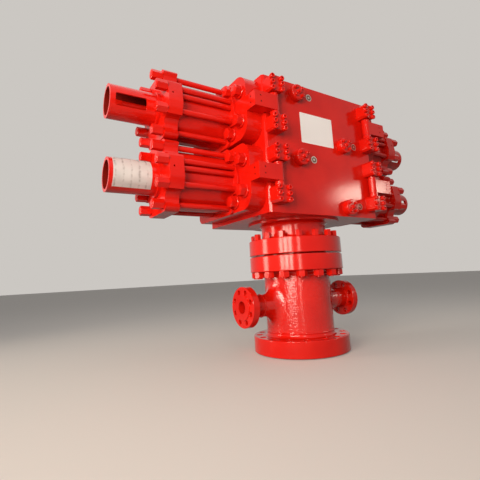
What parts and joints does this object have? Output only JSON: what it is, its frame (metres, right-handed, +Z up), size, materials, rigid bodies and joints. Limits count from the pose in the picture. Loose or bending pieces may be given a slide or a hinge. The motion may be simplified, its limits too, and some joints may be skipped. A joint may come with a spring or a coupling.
{
  "type": "double ram blowout preventer on a drilling spool",
  "caption": "Ram blowout preventer block with hinged side doors, hydraulic ram cylinders and lock screw tubes, flanged onto a drilling spool with side outlets.",
  "frame": {"origin": "centre of the lower flange's raised face, on the main bore's axis", "axes": "+Z up along the main bore, +X along the rams and side outlets, -Y towards the hinge side"},
  "size_m": [2.713, 0.841, 1.81],
  "materials": {
    "red_enamel": "gloss",
    "machined_steel": "satin",
    "plug_steel": "dull"
  },
  "bodies": {
    "preventer_stack": {"preventer_body": "red_enamel", "drilling_spool": "red_enamel", "spool_lower_flange": "red_enamel", "spool_upper_flange": "red_enamel", "port_covers": "red_enamel", "pressure_plugs": "plug_steel", "left_outlet": "red_enamel", "left_hinge_brackets": "red_enamel", "left_hinge_pins": "red_enamel", "right_outlet": "red_enamel", "right_hinge_brackets": "red_enamel", "right_hinge_pins": "red_enamel"},
    "lower_left_door_assembly": {"lower_left_door": "red_enamel", "lower_left_cylinder": "red_enamel", "lower_left_cylinder_head": "red_enamel", "lower_left_tie_rods": "red_enamel", "lower_left_lock_tube": "red_enamel"},
    "lower_left_ram_assembly": {"lower_left_ram_block": "machined_steel", "lower_left_ram_shaft": "machined_steel"},
    "lower_left_lock": {"lower_left_lock_screw": "red_enamel"},
    "lower_right_door_assembly": {"lower_right_door": "red_enamel", "lower_right_cylinder": "red_enamel", "lower_right_cylinder_head": "red_enamel", "lower_right_tie_rods": "red_enamel", "lower_right_lock_tube": "red_enamel"},
    "lower_right_ram_assembly": {"lower_right_ram_block": "machined_steel", "lower_right_ram_shaft": "machined_steel"},
    "lower_right_lock": {"lower_right_lock_screw": "red_enamel"},
    "upper_left_door_assembly": {"upper_left_door": "red_enamel", "upper_left_cylinder": "red_enamel", "upper_left_cylinder_head": "red_enamel", "upper_left_tie_rods": "red_enamel", "upper_left_lock_tube": "red_enamel"},
    "upper_left_ram_assembly": {"upper_left_ram_block": "machined_steel", "upper_left_ram_shaft": "machined_steel"},
    "upper_left_lock": {"upper_left_lock_screw": "red_enamel"},
    "upper_right_door_assembly": {"upper_right_door": "red_enamel", "upper_right_cylinder": "red_enamel", "upper_right_cylinder_head": "red_enamel", "upper_right_tie_rods": "red_enamel", "upper_right_lock_tube": "red_enamel"},
    "upper_right_ram_assembly": {"upper_right_ram_block": "machined_steel", "upper_right_ram_shaft": "machined_steel"},
    "upper_right_lock": {"upper_right_lock_screw": "red_enamel"}
  },
  "joints": [
    {"name": "lower_left_door_hinge", "type": "hinge", "parent": "preventer_stack", "child": "lower_left_door_assembly", "pos_m": [-0.438, -0.418, 1.141], "axis": [0, 0, 1], "range_deg": [0, 90]},
    {"name": "lower_left_ram_slide", "type": "slide", "parent": "lower_left_door_assembly", "child": "lower_left_ram_assembly", "axis": [1, 0, 0], "range_m": [0, 0.2875]},
    {"name": "lower_left_lock_turn", "type": "hinge", "parent": "lower_left_door_assembly", "child": "lower_left_lock", "pos_m": [-1.0585, 0, 1.141], "axis": [-1, 0, 0], "continuous": true},
    {"name": "lower_right_door_hinge", "type": "hinge", "parent": "preventer_stack", "child": "lower_right_door_assembly", "pos_m": [0.438, -0.418, 1.141], "axis": [0, 0, -1], "range_deg": [0, 90]},
    {"name": "lower_right_ram_slide", "type": "slide", "parent": "lower_right_door_assembly", "child": "lower_right_ram_assembly", "axis": [-1, 0, 0], "range_m": [0, 0.2875]},
    {"name": "lower_right_lock_turn", "type": "hinge", "parent": "lower_right_door_assembly", "child": "lower_right_lock", "pos_m": [1.0585, 0, 1.141], "axis": [1, 0, 0], "continuous": true},
    {"name": "upper_left_door_hinge", "type": "hinge", "parent": "preventer_stack", "child": "upper_left_door_assembly", "pos_m": [-0.438, -0.418, 1.59], "axis": [0, 0, 1], "range_deg": [0, 90]},
    {"name": "upper_left_ram_slide", "type": "slide", "parent": "upper_left_door_assembly", "child": "upper_left_ram_assembly", "axis": [1, 0, 0], "range_m": [0, 0.2875]},
    {"name": "upper_left_lock_turn", "type": "hinge", "parent": "upper_left_door_assembly", "child": "upper_left_lock", "pos_m": [-1.0585, 0, 1.59], "axis": [-1, 0, 0], "continuous": true},
    {"name": "upper_right_door_hinge", "type": "hinge", "parent": "preventer_stack", "child": "upper_right_door_assembly", "pos_m": [0.438, -0.418, 1.59], "axis": [0, 0, -1], "range_deg": [0, 90]},
    {"name": "upper_right_ram_slide", "type": "slide", "parent": "upper_right_door_assembly", "child": "upper_right_ram_assembly", "axis": [-1, 0, 0], "range_m": [0, 0.2875]},
    {"name": "upper_right_lock_turn", "type": "hinge", "parent": "upper_right_door_assembly", "child": "upper_right_lock", "pos_m": [1.0585, 0, 1.59], "axis": [1, 0, 0], "continuous": true}
  ]
}
